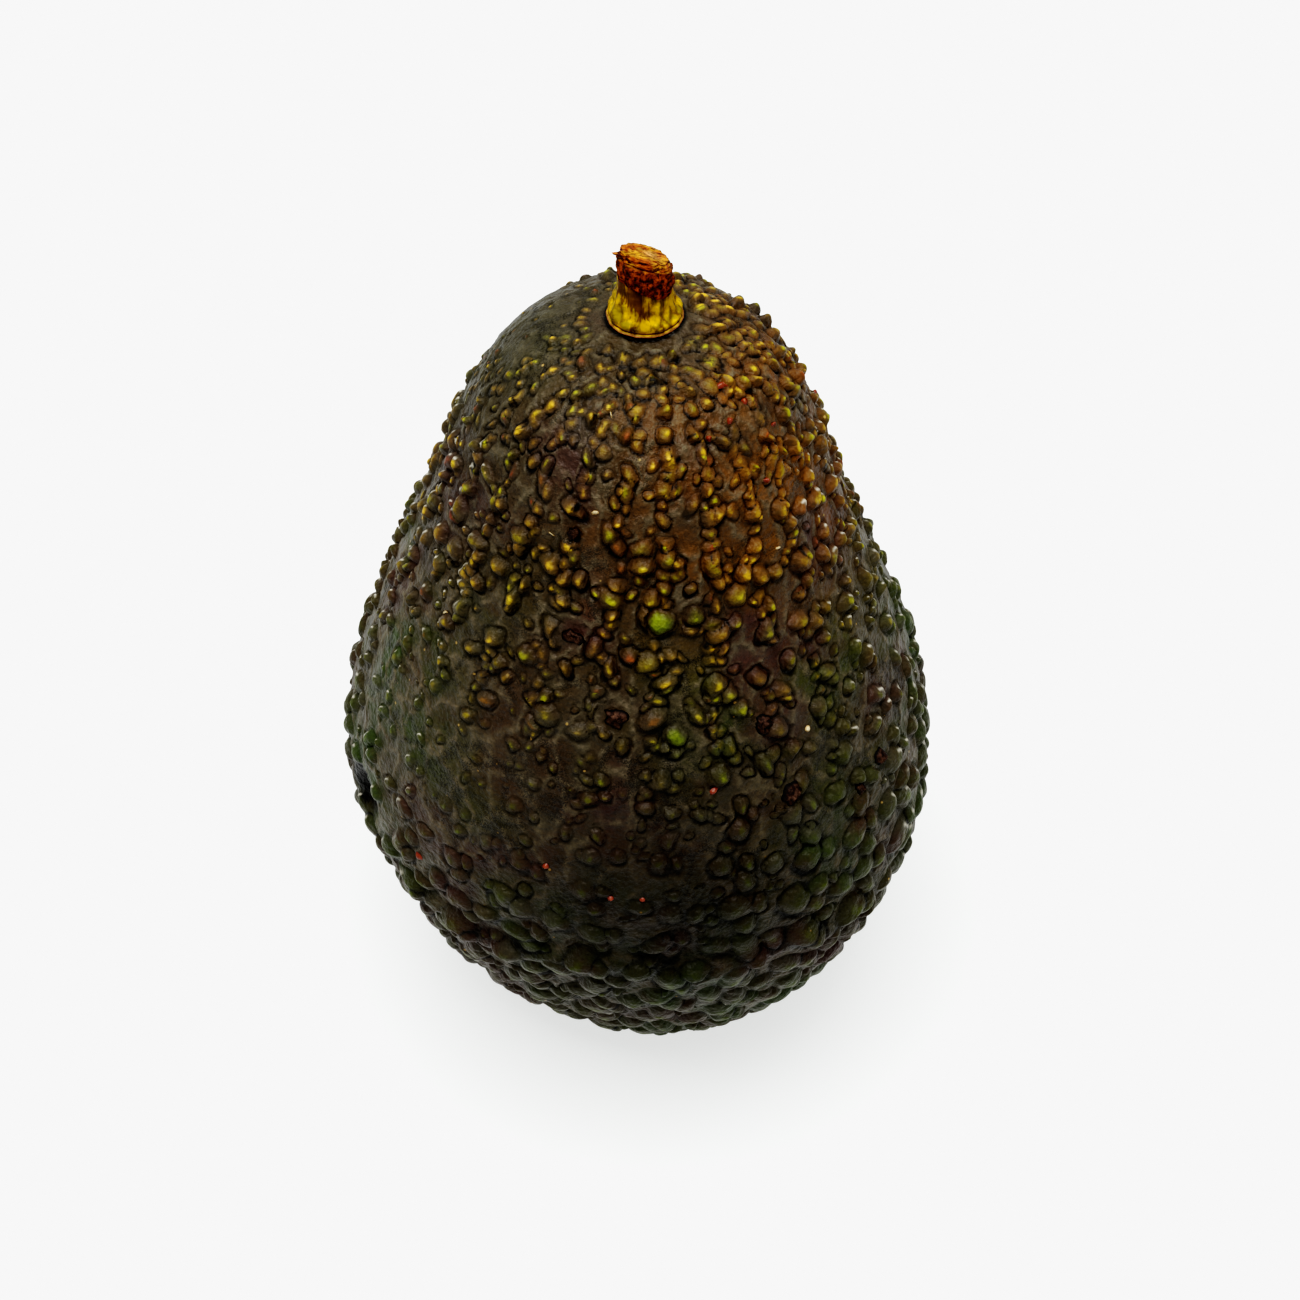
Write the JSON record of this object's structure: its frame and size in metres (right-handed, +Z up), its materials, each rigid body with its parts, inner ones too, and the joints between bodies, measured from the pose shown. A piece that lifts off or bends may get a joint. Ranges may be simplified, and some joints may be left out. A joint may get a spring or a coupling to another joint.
{
  "type": "avocado",
  "caption": "Whole ripe pebbly-skinned avocado with its short cut stem stub, standing on its blossom end.",
  "frame": {"origin": "middle of the small flat spot at the blossom end, on the surface that the fruit stands on", "axes": "+Z up along the fruit's core to the stem, -Y towards the roughest side of the skin, +X to the right of that side"},
  "size_m": [0.0707, 0.0692, 0.1112],
  "materials": {
    "fruit_skin": "dark brown-olive pebbled rind, semi-gloss",
    "stem_bark": "dry cut stem, yellow fleshy collar below red-brown bark"
  },
  "bodies": {
    "root": {"fruit": "fruit_skin", "stem": "stem_bark"}
  },
  "joints": []
}
